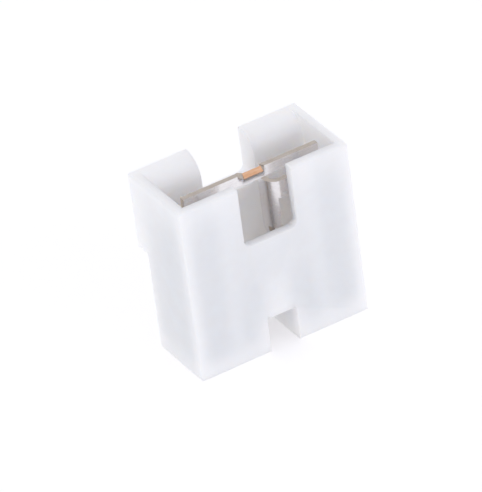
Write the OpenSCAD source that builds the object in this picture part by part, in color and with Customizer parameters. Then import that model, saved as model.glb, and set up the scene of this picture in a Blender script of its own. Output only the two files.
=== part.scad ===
// Two-position jumper shunt for a 2.54 mm pin header.
// One moulded housing, open at the top, and one stamped contact that bridges
// the two pins. X runs along the row of pins, Y from the front wall to the
// back wall and Z up, away from the header. The origin is on the mating face,
// in the middle of the housing's overall width and depth.

/* [Pins it fits] */
// Distance between the two pins
pitch = 2.54; // [2.5:0.01:2.6]
// Side of each square pin
pin_w = 0.64; // [0.6:0.01:0.66]
// Play round each pin in the housing's floor
pin_play = 0.07; // [0.05:0.01:0.09]

/* [Housing] */
// Overall width along the row of pins
body_w = 4.9; // [4.8:0.05:5.2]
// Overall depth at the top, over the finger ledge
body_d = 2.54; // [2.5:0.02:2.9]
// Overall height
body_h = 5; // [4.9:0.1:6]
// Thickness of the side, front and back walls
wall_t = 0.25; // [0.2:0.01:0.27]
// How far the finger ledge stands out at the back
ledge_out = 0.45; // [0.35:0.01:0.5]
// Height of the ledge, from its underside to the top
ledge_h = 2.2; // [1.8:0.1:2.6]
// Radius of the ledge's inner top edge
lead_r = 0.6; // [0.3:0.05:0.65]
// Radius of the outer edges
edge_r = 0.07; // [0.03:0.01:0.1]
// Thickness of the floor that the pins pass through
floor_t = 0.45; // [0.3:0.05:0.6]
// Width of the chamfer round each pin entry
entry_c = 0.15; // [0.05:0.01:0.2]

/* [Openings] */
// Width of the slots in the front and back walls
slot_w = 1.46; // [1.2:0.02:1.5]
// Depth of the front slot below the top
front_slot_h = 1.65; // [1.3:0.05:1.8]
// Depth of the back slot below the top
back_slot_h = 1.45; // [1.1:0.05:1.8]
// Radius of the slots' lower corners
slot_r = 0.2; // [0.05:0.05:0.3]
// Width of the notch across the bottom
notch_w = 0.86; // [0.7:0.02:0.9]
// Height of the notch across the bottom
notch_h = 1; // [0.6:0.1:1.1]
// Radius of the notch's upper corners
notch_r = 0.08; // [0.03:0.01:0.15]
// Thickness of the rib between the two sockets
rib_t = 0.7; // [0.4:0.05:0.7]
// Width of each seat on the front wall that carries the contact
seat_w = 0.4; // [0.3:0.02:0.44]

/* [Contact] */
// Thickness of the strip that the contact is stamped from
stock_t = 0.2; // [0.15:0.01:0.2]
// Gap that the housing leaves in front of the contact's plate
plate_gap = 0.34; // [0.28:0.01:0.36]
// Running clearance between the contact, its seats and the pins
fit_gap = 0.02; // [0.01:0.005:0.03]
// Gap between each end of the bridge and the side wall
bridge_gap = 0.4; // [0.3:0.05:0.6]
// Height of the bridge
bridge_h = 0.4; // [0.3:0.02:0.45]
// How far the bridge lies below the housing's top
bridge_drop = 0.06; // [0.04:0.01:0.1]
// Width of the sheared carrier tab
tab_w = 0.5; // [0.3:0.05:0.6]
// Height of the sheared carrier tab
tab_h = 0.05; // [0.02:0.01:0.06]
// Height of the slit that frees each inner beam from the bridge
slit_h = 0.24; // [0.15:0.01:0.3]
// Length of that slit, from the socket's inner edge
slit_w = 0.6; // [0.5:0.05:0.8]
// Height of the plate in front of each pin, below the slit
plate_h = 0.5; // [0.4:0.02:0.7]
// Gap between each socket and the side wall
socket_gap = 0.12; // [0.1:0.01:0.15]
// Depth of a beam at the top, from the plate's front
beam_d = 0.66; // [0.6:0.02:0.8]
// Depth of a beam at its tip
beam_tip_d = 0.36; // [0.3:0.02:0.5]
// Length of a beam below its plate
beam_l = 1.9; // [1.6:0.05:1.95]
// Opening between two beams where they grip, with no pin in
grip_w = 0.5; // [0.4:0.02:0.58]
// Inner radius of each bend
bend_r = 0.05; // [0.03:0.01:0.1]
// Radius of the knuckle that presses on the pin
knuckle_r = 0.4; // [0.25:0.05:0.5]
// Angle at which a beam's tip opens to lead the pin in
tip_a = 24; // [15:1:30]
// Length of a beam's open tip
tip_l = 0.25; // [0.15:0.05:0.35]

/* [Hidden] */
$fn = 48;
// Overlap that lets a cut pass clear of a face
over = 0.1;
// Steps along the arc of a knuckle
arc_steps = 8;

front_y = -body_d / 2;
back_y = body_d / 2;
lower_back_y = back_y - ledge_out;
inner_front_y = front_y + wall_t;
inner_back_y = lower_back_y - wall_t;
inner_x = body_w / 2 - wall_t;
ledge_z = body_h - ledge_h;
rib_z = body_h - front_slot_h;
pin_x = pitch / 2;
entry_w = pin_w + 2 * pin_play;

plate_y = inner_front_y + plate_gap;
plate_back_y = plate_y + stock_t;
pin_y = plate_back_y + fit_gap + pin_w / 2;
bridge_top_z = body_h - bridge_drop;
bridge_z = bridge_top_z - bridge_h;
slit_z = bridge_z - slit_h;
plate_z = slit_z - plate_h;
beam_back_y = plate_y + beam_d;
bridge_w = 2 * (inner_x - bridge_gap);
// Outer width of a socket at the top, over both beams
socket_w = 2 * (inner_x - socket_gap - pin_x);
neck_x = pin_x - socket_w / 2 + slit_w;

// Slope of a beam, from its place beside the plate to its grip on the pin
beam_in = (socket_w - grip_w) / 2 - stock_t;
beam_a = atan(beam_in / beam_l);

// A block with all its edges rounded, on z = 0, from y0 to y1
module rounded_block(w, y0, y1, z0, z1, r) {
    intersection() {
        translate([0, y1, 0])
            rotate([90, 0, 0])
                linear_extrude(y1 - y0)
                    rounded_rect(-w / 2, w / 2, z0, z1, r);
        translate([-w / 2, 0, 0])
            rotate([90, 0, 90])
                linear_extrude(w)
                    rounded_rect(y0, y1, z0, z1, r);
        translate([0, 0, z0])
            linear_extrude(z1 - z0)
                rounded_rect(-w / 2, w / 2, y0, y1, r);
    }
}

// A rectangle between two corners, with round corners
module rounded_rect(a0, a1, b0, b1, r) {
    translate([a0 + r, b0])
        square([a1 - a0 - 2 * r, b1 - b0]);
    translate([a0, b0 + r])
        square([a1 - a0, b1 - b0 - 2 * r]);
    for (a = [a0 + r, a1 - r], b = [b0 + r, b1 - r])
        translate([a, b])
            circle(r);
}

// A profile drawn in X and Z, pushed along Y from y0 to y1
module along_y(y0, y1) {
    translate([0, y1, 0])
        rotate([90, 0, 0])
            linear_extrude(y1 - y0)
                children();
}

// A profile drawn in Y and Z, pushed along X from x0 to x1
module along_x(x0, x1) {
    translate([x0, 0, 0])
        rotate([90, 0, 90])
            linear_extrude(x1 - x0)
                children();
}

// Outside of the housing, with the finger ledge at the back
module housing_outside() {
    rounded_block(body_w, front_y, lower_back_y, 0, body_h, edge_r);
    rounded_block(body_w, front_y, back_y, ledge_z, body_h, edge_r);
}

// Side view of the hollow: it widens over the ledge in one round
module hollow_profile() {
    translate([inner_front_y, floor_t])
        square([inner_back_y - inner_front_y, body_h - floor_t + over]);
    difference() {
        translate([inner_back_y - over, body_h - lead_r])
            square([lead_r + over, lead_r + over]);
        translate([inner_back_y + lead_r, body_h - lead_r])
            circle(lead_r);
    }
}

// The rib between the sockets, which widens round the bottom notch
module middle_rib() {
    along_y(front_y + wall_t / 2, inner_back_y + wall_t / 2) {
        translate([-rib_t / 2, 0])
            square([rib_t, rib_z]);
        translate([-notch_w / 2 - wall_t, 0])
            square([notch_w + 2 * wall_t, notch_h + wall_t]);
    }
}

// A seat on the front wall: the contact's plate stands on its step and the
// pin slides along its face
module front_seat() {
    along_x(pin_x - seat_w / 2, pin_x + seat_w / 2)
        polygon([
            [front_y + wall_t / 2, 0],
            [plate_back_y, 0],
            [plate_back_y, plate_z],
            [plate_y - fit_gap, plate_z],
            [plate_y - fit_gap, bridge_z],
            [inner_front_y, bridge_z + plate_gap],
            [front_y + wall_t / 2, bridge_z + plate_gap]
        ]);
}

// A square pin hole through the floor, with a chamfer all round its mouth
module pin_entry() {
    half = entry_w / 2;
    wide = half + entry_c;
    translate([-half, -half, -over])
        cube([entry_w, entry_w, floor_t + 2 * over]);
    intersection() {
        along_y(-wide - over, wide + over)
            entry_funnel(half, wide);
        along_x(-wide - over, wide + over)
            entry_funnel(half, wide);
    }
}

// Section of the chamfer, carried straight on below the mouth
module entry_funnel(half, wide) {
    polygon([[-wide, -over], [wide, -over], [wide, 0], [half, entry_c], [-half, entry_c], [-wide, 0]]);
}

module housing() {
    color("white")
    difference() {
        union() {
            difference() {
                housing_outside();
                along_x(-inner_x, inner_x)
                    hollow_profile();
            }
            middle_rib();
            for (side = [0, 1])
                mirror([side, 0, 0])
                    front_seat();
        }
        // slots through the front and back walls
        along_y(front_y - over, inner_front_y + over)
            rounded_rect(-slot_w / 2, slot_w / 2, body_h - front_slot_h, body_h + slot_w, slot_r);
        along_y(inner_back_y - over, back_y + over)
            rounded_rect(-slot_w / 2, slot_w / 2, body_h - back_slot_h, body_h + slot_w, slot_r);
        // notch across the bottom
        along_y(front_y - over, back_y + over)
            rounded_rect(-notch_w / 2, notch_w / 2, -notch_h, notch_h, notch_r);
        for (x = [-pin_x, pin_x])
            translate([x, pin_y, 0])
                pin_entry();
    }
}

// Points of an arc round a centre, from angle a0 to angle a1
function arc(centre, r, a0, a1) = [
    for (i = [0:arc_steps])
        let (a = a0 + (a1 - a0) * i / arc_steps)
            centre + r * [cos(a), sin(a)]
];

// Front view of one beam of the socket on the pin at x = 0: its outer face
// leans in to the knuckle, and its tip opens again
module beam_profile() {
    top = [socket_w / 2, plate_z];
    knee = top - beam_l * [tan(beam_a), 1];
    centre = knee + knuckle_r * [cos(beam_a), -sin(beam_a)];
    outer = arc(centre, knuckle_r, 180 - beam_a, 180 + tip_a);
    inner = arc(centre, knuckle_r + stock_t, 180 - beam_a, 180 + tip_a);
    tip = tip_l * [sin(tip_a), -cos(tip_a)];
    polygon(concat(
        [top],
        outer,
        [outer[arc_steps] + tip, inner[arc_steps] + tip],
        [for (i = [arc_steps:-1:0]) inner[i]],
        [top - [stock_t, 0]]
    ));
}

// Side view of a beam: full depth beside the plate, drawn back at the tip
module beam_side() {
    tip_z = plate_z - beam_l - knuckle_r - tip_l - over;
    polygon([
        [plate_y, slit_z],
        [plate_y, plate_z],
        [beam_back_y - beam_tip_d, tip_z],
        [beam_back_y, tip_z],
        [beam_back_y, slit_z]
    ]);
}

// The channel round the front of a pin, seen from above
module channel_plan() {
    half = socket_w / 2;
    outer_r = bend_r + stock_t;
    difference() {
        channel_edge(half, plate_y, outer_r);
        channel_edge(half - stock_t, plate_back_y, bend_r);
    }
}

module channel_edge(half, y0, r) {
    difference() {
        rounded_rect(-half, half, y0, beam_back_y + 2 * r, r);
        translate([-half - over, beam_back_y])
            square([2 * half + 2 * over, 2 * r + over]);
    }
}

// One socket, on the pin at x = 0, with its inner beam on the left
module socket() {
    translate([0, 0, plate_z])
        linear_extrude(plate_h)
            channel_plan();
    intersection() {
        for (side = [0, 1])
            mirror([side, 0, 0])
                along_y(plate_y, beam_back_y)
                    beam_profile();
        along_x(-socket_w, socket_w)
            beam_side();
    }
}

module contact() {
    color("silver") {
        translate([-bridge_w / 2, plate_y, bridge_z])
            cube([bridge_w, stock_t, bridge_h]);
        translate([-tab_w / 2, plate_y, bridge_z])
            cube([tab_w, stock_t, bridge_h + tab_h]);
        for (side = [0, 1])
            mirror([side, 0, 0]) {
                translate([pin_x, 0, 0])
                    socket();
                // neck that joins the plate to the bridge, beyond the slit
                translate([neck_x, plate_y, plate_z])
                    cube([bridge_w / 2 - neck_x, stock_t, plate_h + slit_h + over]);
            }
    }
}

housing();
contact();
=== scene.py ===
# %% [markdown]
# # A jumper shunt for a pin header
#
# This lesson dresses a tiny part: a white moulded housing, 5 mm high, round one
# stamped metal contact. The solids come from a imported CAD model, which stays the
# fixed frame. Blender gives them soft edges, finishes, light and a camera.

# %% Load the frame
import bmesh
import bpy
import math
from mathutils import Matrix, Vector


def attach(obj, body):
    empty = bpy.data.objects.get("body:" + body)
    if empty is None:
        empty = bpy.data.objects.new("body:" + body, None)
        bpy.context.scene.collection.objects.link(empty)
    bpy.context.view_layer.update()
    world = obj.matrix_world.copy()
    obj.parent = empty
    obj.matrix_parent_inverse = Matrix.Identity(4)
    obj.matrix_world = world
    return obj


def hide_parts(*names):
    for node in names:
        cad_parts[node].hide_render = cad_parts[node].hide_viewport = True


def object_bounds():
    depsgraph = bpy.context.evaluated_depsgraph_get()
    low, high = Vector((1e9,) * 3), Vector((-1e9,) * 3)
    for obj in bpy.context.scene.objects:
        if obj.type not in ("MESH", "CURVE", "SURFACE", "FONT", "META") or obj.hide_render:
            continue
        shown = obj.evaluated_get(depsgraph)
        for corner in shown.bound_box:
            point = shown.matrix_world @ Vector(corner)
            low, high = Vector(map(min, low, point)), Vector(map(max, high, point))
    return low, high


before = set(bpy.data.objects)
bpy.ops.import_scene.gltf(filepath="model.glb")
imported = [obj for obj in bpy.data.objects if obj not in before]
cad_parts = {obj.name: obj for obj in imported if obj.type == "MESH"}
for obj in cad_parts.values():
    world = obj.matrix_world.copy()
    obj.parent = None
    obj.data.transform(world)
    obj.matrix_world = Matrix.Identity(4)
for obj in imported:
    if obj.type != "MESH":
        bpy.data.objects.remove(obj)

cad_low, cad_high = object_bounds()
cad_size = cad_high - cad_low
MM = 0.001
print("CAD box in mm:", [round(side / MM, 3) for side in cad_size])

# %% [markdown]
# ## Helpers for colour and nodes
#
# A colour picked on a screen is in sRGB, and shaders want it linear, so one
# function turns a hex value into the linear one. A second function adds any
# shader node with its settings and links, so that each material below reads as
# a short list.

# %% Turn a hex colour into a linear one
def linear(hex_colour):
    channels = [int(hex_colour[i:i + 2], 16) / 255 for i in (1, 3, 5)]
    straight = [
        c / 12.92 if c <= 0.04045 else ((c + 0.055) / 1.055) ** 2.4
        for c in channels
    ]
    return (*straight, 1.0)


print("pale grey #f9f6f6 is, linear:", [round(c, 3) for c in linear("#f9f6f6")[:3]])

# %% Add a node with its settings and links
def add_node(tree, kind, settings=None, links=None):
    node = tree.nodes.new(kind)
    for name, value in (settings or {}).items():
        if name in node.inputs:
            node.inputs[name].default_value = value
        else:
            setattr(node, name, value)
    for name, source in (links or {}).items():
        tree.links.new(source, node.inputs[name])
    return node

# %% Colour a noise between two tints
RAMP_ENDS = (0.33, 0.67)


def add_ramp(tree, noise, tints):
    ramp = add_node(tree, "ShaderNodeValToRGB", None, {"Fac": noise.outputs["Fac"]})
    for stop, place, tint in zip(ramp.color_ramp.elements, RAMP_ENDS, tints):
        stop.position = place
        stop.color = linear(tint)
    return ramp

# %% Start a material and finish it
def new_material(name):
    material = bpy.data.materials.new(name)
    material.use_nodes = True
    material.node_tree.nodes.clear()
    return material


def show_surface(material, shader):
    add_node(
        material.node_tree, "ShaderNodeOutputMaterial", None,
        {"Surface": shader.outputs["BSDF"]},
    )
    print("made", material.name)
    return material

# %% [markdown]
# ## The housing's plastic
#
# The housing is natural white nylon, injection moulded. Nylon lets some light
# in, so thin walls glow a little and dark corners stay pale and warm. The mould
# was spark eroded, which leaves a fine even grain, so the surface is satin and
# not glossy. A real grain is about 0.02 mm, and at this size it can be shown as
# it is. A second, slower noise gives the faint waves of a moulded wall.

# %% Moulded nylon
NYLON_TINTS = ("#f9f6f6", "#fcfbfc")
NYLON_GRAIN = 0.02 * MM
NYLON_WAVE = 0.6 * MM
NYLON_ROUGHNESS = (0.42, 0.56)
NYLON_IOR = 1.53
GRAIN_DEPTH = 0.002 * MM
WAVE_DEPTH = 0.01 * MM
LIGHT_TRAVEL = 0.8 * MM


def make_moulded_nylon():
    material = new_material("moulded_white_nylon")
    tree = material.node_tree
    place = add_node(tree, "ShaderNodeTexCoord")
    grain = add_node(
        tree, "ShaderNodeTexNoise",
        {"Scale": 1 / NYLON_GRAIN, "Detail": 2.0, "Roughness": 0.6},
        {"Vector": place.outputs["Object"]},
    )
    wave = add_node(
        tree, "ShaderNodeTexNoise",
        {"Scale": 1 / NYLON_WAVE, "Detail": 2.0, "Roughness": 0.5},
        {"Vector": place.outputs["Object"]},
    )
    tint = add_ramp(tree, wave, NYLON_TINTS)
    shine = add_node(
        tree, "ShaderNodeMapRange",
        {"To Min": NYLON_ROUGHNESS[0], "To Max": NYLON_ROUGHNESS[1]},
        {"Value": grain.outputs["Fac"]},
    )
    slow_bump = add_node(
        tree, "ShaderNodeBump",
        {"Strength": 0.25, "Distance": WAVE_DEPTH},
        {"Height": wave.outputs["Fac"]},
    )
    bump = add_node(
        tree, "ShaderNodeBump",
        {"Strength": 0.35, "Distance": GRAIN_DEPTH},
        {"Height": grain.outputs["Fac"], "Normal": slow_bump.outputs["Normal"]},
    )
    plastic = add_node(
        tree, "ShaderNodeBsdfPrincipled",
        {
            "IOR": NYLON_IOR,
            "Subsurface Weight": 1.0,
            "Subsurface Radius": (1.0, 0.9, 0.8),
            "Subsurface Scale": LIGHT_TRAVEL,
        },
        {
            "Base Color": tint.outputs["Color"],
            "Roughness": shine.outputs["Result"],
            "Normal": bump.outputs["Normal"],
        },
    )
    return show_surface(material, plastic)


moulded_nylon = make_moulded_nylon()

# %% [markdown]
# ## The contact's metals
#
# The contact is stamped from phosphor bronze strip that was plated with bright
# tin beforehand. Tin is pale and a little warm. Rolling leaves fine lines along
# the strip, so a noise that is stretched along the row of pins drives the
# roughness and a small bump. The press cuts through the plating, so each sheared
# edge is rougher and browner, and the stub where the carrier strip was snapped
# off shows fresh orange bronze.

# %% Tin plate, sheared edge and fresh bronze
ROLLING_LINE = 0.03 * MM
ROLLING_DEPTH = 0.002 * MM
ALONG_STRIP = 0.12


def make_metal(name, tints, roughness):
    material = new_material(name)
    tree = material.node_tree
    place = add_node(tree, "ShaderNodeTexCoord")
    stretched = add_node(
        tree, "ShaderNodeMapping", {"Scale": (ALONG_STRIP, 1.0, 1.0)},
        {"Vector": place.outputs["Object"]},
    )
    lines = add_node(
        tree, "ShaderNodeTexNoise",
        {"Scale": 1 / ROLLING_LINE, "Detail": 3.0, "Roughness": 0.6},
        {"Vector": stretched.outputs["Vector"]},
    )
    tint = add_ramp(tree, lines, tints)
    shine = add_node(
        tree, "ShaderNodeMapRange",
        {"To Min": roughness[0], "To Max": roughness[1]},
        {"Value": lines.outputs["Fac"]},
    )
    bump = add_node(
        tree, "ShaderNodeBump",
        {"Strength": 0.15, "Distance": ROLLING_DEPTH},
        {"Height": lines.outputs["Fac"]},
    )
    metal = add_node(
        tree, "ShaderNodeBsdfPrincipled",
        {"Metallic": 1.0},
        {
            "Base Color": tint.outputs["Color"],
            "Roughness": shine.outputs["Result"],
            "Normal": bump.outputs["Normal"],
        },
    )
    return show_surface(material, metal)


# Bright tin is pale and smooth, so it mirrors its surroundings a little blurred.
bright_tin = make_metal("bright_tin_plate", ("#e2dedf", "#f1efee"), (0.2, 0.32))
# A sheared edge is rough, so it stays dull and brownish beside the plate.
sheared_edge = make_metal("sheared_bronze_edge", ("#bdb2a8", "#d3cac0"), (0.4, 0.55))
# A fresh break has no plating, so its orange bronze stands out.
fresh_bronze = make_metal("fresh_phosphor_bronze", ("#e0ac84", "#eec6a5"), (0.35, 0.5))

# %% [markdown]
# ## The housing, copied from its solid
#
# A CAD solid has knife edges, and nothing moulded has. The CAD mesh itself must
# not change, so the shape is worked on in a copy. First the loose triangles are
# merged into one skin, and then the triangles of each flat face are joined,
# because a bevel needs real edges and not the diagonals between triangles.

# %% Copy a CAD node into a mesh that can be worked on
MERGE = 0.0004 * MM
FLAT = math.radians(0.5)


def open_skin(mesh):
    shape = bmesh.new()
    shape.from_mesh(mesh)
    bmesh.ops.remove_doubles(shape, verts=shape.verts[:], dist=MERGE)
    bmesh.ops.dissolve_limit(
        shape, angle_limit=FLAT, verts=shape.verts[:], edges=shape.edges[:],
    )
    return shape


def close_skin(shape, mesh):
    for face in shape.faces:
        face.smooth = True
    shape.to_mesh(mesh)
    shape.free()


def add_piece(shape, name):
    mesh = bpy.data.meshes.new(name)
    close_skin(shape, mesh)
    piece = bpy.data.objects.new(name, mesh)
    bpy.context.scene.collection.objects.link(piece)
    print(name, "has", len(mesh.polygons), "faces")
    return piece

# %% [markdown]
# ## Fine fitting of the openings
#
# The moulded part differs from the plain solid by up to 0.15 mm. Its slots are a
# little wider, the front one is deeper and the back one shallower. Each change
# moves a whole group of points, picked by where they lie, so every corner keeps
# its round.

# %% Move the slots' edges
SLOT_X = (0.5 * MM, 0.74 * MM)
SLOT_WIDER = 0.04 * MM
FRONT_FLOOR = (3.34 * MM, 3.56 * MM)
FRONT_DEEPER = 0.07 * MM
BACK_FLOOR = (3.54 * MM, 3.76 * MM)
BACK_SHALLOWER = 0.15 * MM
FRONT_WALL_Y = -1.0 * MM
BACK_WALL_Y = 0.5 * MM
RIB_X = (0.34 * MM, 0.36 * MM)
RIB_WIDER = 0.05 * MM


def between(value, limits):
    return limits[0] < value < limits[1]


def fit_openings(shape):
    moved = 0
    for point in shape.verts:
        place = point.co
        side = math.copysign(1.0, place.x)
        in_slot = abs(place.x) < SLOT_X[1]
        if place.y < FRONT_WALL_Y and in_slot and between(place.z, FRONT_FLOOR):
            place.z -= FRONT_DEEPER
            moved += 1
        if place.y > BACK_WALL_Y and in_slot and between(place.z, BACK_FLOOR):
            place.z += BACK_SHALLOWER
            moved += 1
        if between(abs(place.x), SLOT_X) and place.z > FRONT_FLOOR[0] - FRONT_DEEPER:
            place.x += side * SLOT_WIDER
        if between(abs(place.x), RIB_X):
            place.x += side * RIB_WIDER
    print("points moved on the slots' floors:", moved)


housing_shape = open_skin(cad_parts["housing"].data)
fit_openings(housing_shape)
housing = add_piece(housing_shape, "moulded_housing")

# %% [markdown]
# ## The rib, cut down with a boolean
#
# The rib between the two pin sockets ends well below the front slot. Lowering
# it makes a new step, which moved points can't give, so a block is taken out
# with a boolean. The result is read back from the evaluated object, and the
# block is deleted.

# %% Cut the rib down
RIB_TOP = 2.1 * MM
CUT_X = 0.41 * MM
CUT_Y = (-1.02 * MM, 0.57 * MM)
CUT_TOP = 3.5 * MM


def cut_block(piece, low, high):
    block_shape = bmesh.new()
    bmesh.ops.create_cube(block_shape, size=1.0)
    middle_of_block = (low + high) / 2
    sides = high - low
    for point in block_shape.verts:
        point.co = middle_of_block + Vector(a * b for a, b in zip(point.co, sides))
    block = add_piece(block_shape, "rib_cutter")
    cut = piece.modifiers.new("cut", "BOOLEAN")
    cut.operation = "DIFFERENCE"
    cut.solver = "EXACT"
    cut.object = block
    view = bpy.context.evaluated_depsgraph_get()
    result = bpy.data.meshes.new_from_object(piece.evaluated_get(view))
    piece.modifiers.clear()
    bpy.data.objects.remove(block)
    close_skin(open_skin(result), piece.data)
    bpy.data.meshes.remove(result)
    print("after the cut:", len(piece.data.polygons), "faces")


cut_block(
    housing,
    Vector((-CUT_X, CUT_Y[0], RIB_TOP)),
    Vector((CUT_X, CUT_Y[1], CUT_TOP)),
)

# %% [markdown]
# ## Soft edges
#
# A bevel limited by angle rounds only what is sharp. A round of 0.03 mm suits a
# small moulding, and thin pressed strip gets a finer one. Hardened normals keep
# the flat faces flat beside the new rounds.

# %% Round the sharp edges
MOULD_ROUND = 0.03 * MM
MOULD_SHARP = math.radians(28)
MOULD_STEPS = 3


def round_edges(piece, radius, sharp, steps):
    rounding = piece.modifiers.new("rounding", "BEVEL")
    rounding.width = radius
    rounding.segments = steps
    rounding.limit_method = "ANGLE"
    rounding.angle_limit = sharp
    rounding.harden_normals = True

# %% Give a piece its materials
def wear(piece, materials):
    for material in materials:
        piece.data.materials.append(material)
    print(piece.name, "wears", [material.name for material in materials])


round_edges(housing, MOULD_ROUND, MOULD_SHARP, MOULD_STEPS)
wear(housing, [moulded_nylon])
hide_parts("housing")
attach(housing, "root")

# %% [markdown]
# ## The contact, folded from a flat blank
#
# A press makes the contact from one flat strip: it cuts the blank, then folds
# it. The same order works in mesh code. The blank is a grid of lines, `along`
# the row of pins and `down` the height. A rule says which cells are metal, and a
# second rule folds each point. One modifier then gives the strip its thickness.
# The fold runs along the middle of the strip, so the sizes below are turned into
# those of the middle line.

# %% The blank's sizes
STOCK = 0.15 * MM
PLATE_BACK_Y = -0.48 * MM
PIN_X = 1.27 * MM
BRIDGE_X = 1.95 * MM
TAB_X = 0.27 * MM
NECK_X = 1.06 * MM
SOCKET_X = 0.805 * MM
BEND_RADIUS = 0.275 * MM
ARM = 0.25 * MM
TAB_Z = 4.935 * MM
BRIDGE_TOP_Z = 4.92 * MM
BRIDGE_Z = 4.62 * MM
SLIT_Z = 4.3 * MM
PLATE_Z = 3.8 * MM
SHOULDER_Z = 2.92 * MM
TAB_LEAN = 0.15 * MM
LEAN_ROOT = 0.3 * MM
LEAN_X = 0.35 * MM
TORN = 0.05 * MM

middle_y = PLATE_BACK_Y - STOCK / 2
flat_x = SOCKET_X - STOCK / 2 - BEND_RADIUS
bend_length = BEND_RADIUS * math.pi / 2
arm_start = flat_x + bend_length
arm_end = arm_start + ARM
BEND_STEPS = 8
# Below the plate, the strip is cut away as far as this line of the bend.
WINDOW_STEP = 2
window_edge = flat_x + bend_length * WINDOW_STEP / BEND_STEPS
print("blank of one socket in mm:", round(2 * arm_end / MM, 3))

# %% [markdown]
# ## The beams' path
#
# Below its shoulder a beam leans in to a knuckle that presses on the pin, and
# its tip opens to lead the pin in. The path is walked in short steps. Each step
# has a length and a heading away from straight down, so the bends come out
# round.

# %% Walk down a beam
LEAN = math.radians(21.4)
TIP = math.radians(-24)
ROOT_LENGTH = 0.3 * MM
STRAIGHT_LENGTH = 0.864 * MM
KNUCKLE_LENGTH = 0.376 * MM
TIP_LENGTH = 0.25 * MM


def stretch(length, count, start, end):
    turns = [start + (end - start) * (i + 0.5) / count for i in range(count)]
    return [(length / count, turn) for turn in turns]


def walk(start_z):
    steps = stretch(ROOT_LENGTH, 4, 0.0, LEAN)
    steps += stretch(STRAIGHT_LENGTH, 6, LEAN, LEAN)
    steps += stretch(KNUCKLE_LENGTH, 8, LEAN, TIP)
    steps += stretch(TIP_LENGTH, 2, TIP, TIP)
    inward = 0.0
    z = start_z
    path = []
    for length, heading in steps:
        inward += length * math.sin(heading)
        z -= length * math.cos(heading)
        path.append((inward, z))
    return path


beam_path = walk(SHOULDER_Z)
print("knuckle leans in by", round(max(p[0] for p in beam_path) / MM, 3), "mm")
print("beam ends at", round(beam_path[-1][1] / MM, 3), "mm")

# %% [markdown]
# ## The grid of the blank
#
# The lines are gathered in sets, so that each named edge of the blank gets its
# own line and the bends get a few more. The rows go from the tab down to the
# tips, and each row holds its height and how far it leans in.

# %% Lines along and down
socket_lines = {PIN_X - NECK_X, flat_x, arm_start, arm_end, arm_start + ARM / 2}
socket_lines |= {flat_x + bend_length * i / BEND_STEPS for i in range(BEND_STEPS)}
right_lines = {0.0, TAB_X / 2, TAB_X, LEAN_X, TAB_X * 2, BRIDGE_X, NECK_X}
right_lines |= {PIN_X + side * line for line in socket_lines for side in (-1, 1)}
right = sorted(round(line, 8) for line in right_lines)
along = [-line for line in reversed(right) if line > 0] + right

lean_z = BRIDGE_TOP_Z - LEAN_ROOT * 2 / 3
upright = [TAB_Z, BRIDGE_TOP_Z, BRIDGE_TOP_Z - TORN, lean_z]
upright += [BRIDGE_Z, SLIT_Z, PLATE_Z, SHOULDER_Z]
rows = [(0.0, z) for z in upright] + beam_path
print(len(along), "lines along,", len(rows), "rows down")

# %% [markdown]
# ## Cut the blank
#
# From the top down, the blank has the torn tab, the bridge, two narrow necks
# with slits beside them so that each socket can bend by itself, the plates, and
# then the beams. Beside each beam's root a shoulder stays, where the bend stiffens
# the strip.

# %% Which cells are metal
def is_metal(x, z):
    from_pin = abs(abs(x) - PIN_X)
    if z > BRIDGE_TOP_Z:
        return abs(x) < TAB_X
    if z > BRIDGE_Z:
        return abs(x) < BRIDGE_X
    if z > SLIT_Z:
        return NECK_X < abs(x) < PIN_X + flat_x
    if z > PLATE_Z:
        return from_pin < arm_end
    if z > SHOULDER_Z:
        return window_edge < from_pin < arm_end
    return arm_start < from_pin < arm_end

# %% [markdown]
# ## Fold the blank
#
# Above the slits nothing is folded, but snapping off the carrier strip pulled
# the tab forward. Below them each side is bent back round its pin: flat, then an
# arc, then a straight arm that moves in with the beam's path.

# %% Fold a point of the blank
def fold(x, inward, z):
    if z > SLIT_Z + MERGE:
        past_tab = max(0.0, abs(x) - TAB_X)
        reach = max(0.0, 1 - past_tab / (LEAN_X - TAB_X))
        rise = max(0.0, 1 - (BRIDGE_TOP_Z - z) / LEAN_ROOT)
        return Vector((x, middle_y - TAB_LEAN * reach * rise * rise, z))
    side = math.copysign(1.0, x)
    from_pin = abs(x) - PIN_X
    way = math.copysign(1.0, from_pin)
    length = abs(from_pin)
    if length <= flat_x:
        across, y = length, middle_y
    elif length <= arm_start:
        turn = (length - flat_x) / BEND_RADIUS
        across = flat_x + BEND_RADIUS * math.sin(turn)
        y = middle_y + BEND_RADIUS * (1 - math.cos(turn))
    else:
        across = flat_x + BEND_RADIUS - inward
        y = middle_y + BEND_RADIUS + length - arm_start
    return Vector((side * (PIN_X + way * across), y, z))

# %% [markdown]
# ## Make the strip
#
# Each metal cell becomes one face. Solidify then adds the thickness about the
# middle of the strip. Its rim faces are the sheared edges, and they take the
# material after the cell's own, so the plated faces and the cut edges part by
# themselves. That is why the torn cells' bronze stands in the list twice.

# %% Build the folded blank
TINNED = 0
BROKEN = 2
STAMP_ROUND = 0.012 * MM
STAMP_SHARP = math.radians(40)
STAMP_STEPS = 2


def build_contact():
    shape = bmesh.new()
    points = {}

    def point(column, row):
        if (column, row) not in points:
            inward, z = rows[row]
            points[column, row] = shape.verts.new(fold(along[column], inward, z))
        return points[column, row]

    for row in range(len(rows) - 1):
        for column in range(len(along) - 1):
            x = (along[column] + along[column + 1]) / 2
            z = (rows[row][1] + rows[row + 1][1]) / 2
            if not is_metal(x, z):
                continue
            face = shape.faces.new([
                point(column, row), point(column, row + 1),
                point(column + 1, row + 1), point(column + 1, row),
            ])
            torn = abs(x) < TAB_X and z > BRIDGE_TOP_Z - TORN
            face.material_index = BROKEN if torn else TINNED
    return add_piece(shape, "stamped_contact")

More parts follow.
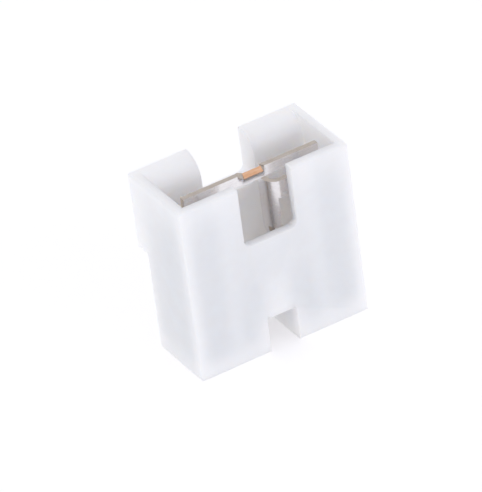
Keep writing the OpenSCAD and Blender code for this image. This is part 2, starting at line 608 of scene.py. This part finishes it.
# %% Thicken, round and place the contact
contact = build_contact()
thickness = contact.modifiers.new("stock", "SOLIDIFY")
thickness.thickness = STOCK
thickness.offset = 0.0
thickness.use_even_offset = True
thickness.material_offset_rim = 1
round_edges(contact, STAMP_ROUND, STAMP_SHARP, STAMP_STEPS)
wear(contact, [bright_tin, sheared_edge, fresh_bronze, fresh_bronze])
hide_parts("contact")
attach(contact, "root")

# %% [markdown]
# ## The floor
#
# The studio is plain. A pale floor of matt paper fills the view. It glows a
# little, as an overexposed sweep does, and that also lights the part from below.

# %% Floor
FLOOR_HALF = 0.6
FLOOR_GLOW = 0.24


def make_floor():
    shape = bmesh.new()
    bmesh.ops.create_grid(shape, x_segments=1, y_segments=1, size=FLOOR_HALF)
    mesh = bpy.data.meshes.new("studio_floor")
    shape.to_mesh(mesh)
    shape.free()
    floor = bpy.data.objects.new("studio_floor", mesh)
    bpy.context.scene.collection.objects.link(floor)
    material = new_material("white_sweep")
    tree = material.node_tree
    paper = add_node(
        tree, "ShaderNodeBsdfPrincipled",
        {
            "Base Color": linear("#f2f2f3"),
            "Roughness": 0.9,
            "Specular IOR Level": 0.1,
            "Emission Color": linear("#ffffff"),
            "Emission Strength": FLOOR_GLOW,
        },
    )
    mesh.materials.append(show_surface(material, paper))
    print("floor half side in m:", FLOOR_HALF)


make_floor()

# %% [markdown]
# ## The light
#
# An even pale sky gives most of the light, so no shadow is hard. Two weak soft
# boxes lift the front and the left side. They are large for so small a part, so
# the metal mirrors them without a hard edge.

# %% Sky
SKY_STRENGTH = 0.88


def make_sky():
    world = bpy.data.worlds.new("studio_sky")
    bpy.context.scene.world = world
    world.use_nodes = True
    background = world.node_tree.nodes["Background"]
    background.inputs["Color"].default_value = linear("#fbfbff")
    background.inputs["Strength"].default_value = SKY_STRENGTH
    print("sky strength:", SKY_STRENGTH)


make_sky()

# %% Soft boxes
BOX_DISTANCE = 0.3
BOX_SIZE = 0.25
middle = (cad_low + cad_high) / 2


def outward(azimuth, elevation):
    a = math.radians(azimuth)
    e = math.radians(elevation)
    return Vector((math.sin(a) * math.cos(e), -math.cos(a) * math.cos(e), math.sin(e)))


def aim(thing, target):
    thing.rotation_euler = (target - thing.location).to_track_quat("-Z", "Y").to_euler()


def make_soft_box(name, azimuth, elevation, watts, hue):
    lamp = bpy.data.lights.new(name, "AREA")
    lamp.shape = "SQUARE"
    lamp.size = BOX_SIZE
    lamp.energy = watts
    lamp.color = linear(hue)[:3]
    box = bpy.data.objects.new(name, lamp)
    bpy.context.scene.collection.objects.link(box)
    box.location = middle + BOX_DISTANCE * outward(azimuth, elevation)
    aim(box, middle)
    print(name, "gives", watts, "W")


make_soft_box("front_soft_box", 20, 15, 0.075, "#eae6ff")
make_soft_box("left_soft_box", -75, 20, 0.015, "#f2f0ff")

# %% [markdown]
# ## The camera
#
# The camera looks down from the front left with a long lens, so upright edges
# stay nearly parallel. A small roll tips the part, and a small shift frames it.

# %% Camera
CAMERA_AZIMUTH = -26.9
CAMERA_ELEVATION = 33.3
CAMERA_ROLL = -7.9
CAMERA_DISTANCE = 0.157
CAMERA_LENS = 460.4
SHIFT_RIGHT = 0.01585
SHIFT_UP = 0.00894


def make_camera():
    data = bpy.data.cameras.new("studio_camera")
    data.lens = CAMERA_LENS
    data.clip_start = 0.01
    data.clip_end = 5.0
    data.shift_x = -SHIFT_RIGHT
    data.shift_y = -SHIFT_UP
    camera = bpy.data.objects.new("studio_camera", data)
    bpy.context.scene.collection.objects.link(camera)
    away = outward(CAMERA_AZIMUTH, CAMERA_ELEVATION)
    camera.location = middle + CAMERA_DISTANCE * away
    turn = (-away).to_track_quat("-Z", "Y").to_matrix().to_4x4()
    roll = Matrix.Rotation(math.radians(CAMERA_ROLL), 4, "Z")
    camera.rotation_euler = (turn @ roll).to_euler()
    bpy.context.scene.camera = camera
    print("camera at", [round(axis, 4) for axis in camera.location])


make_camera()
bpy.context.scene.view_settings.view_transform = "Standard"
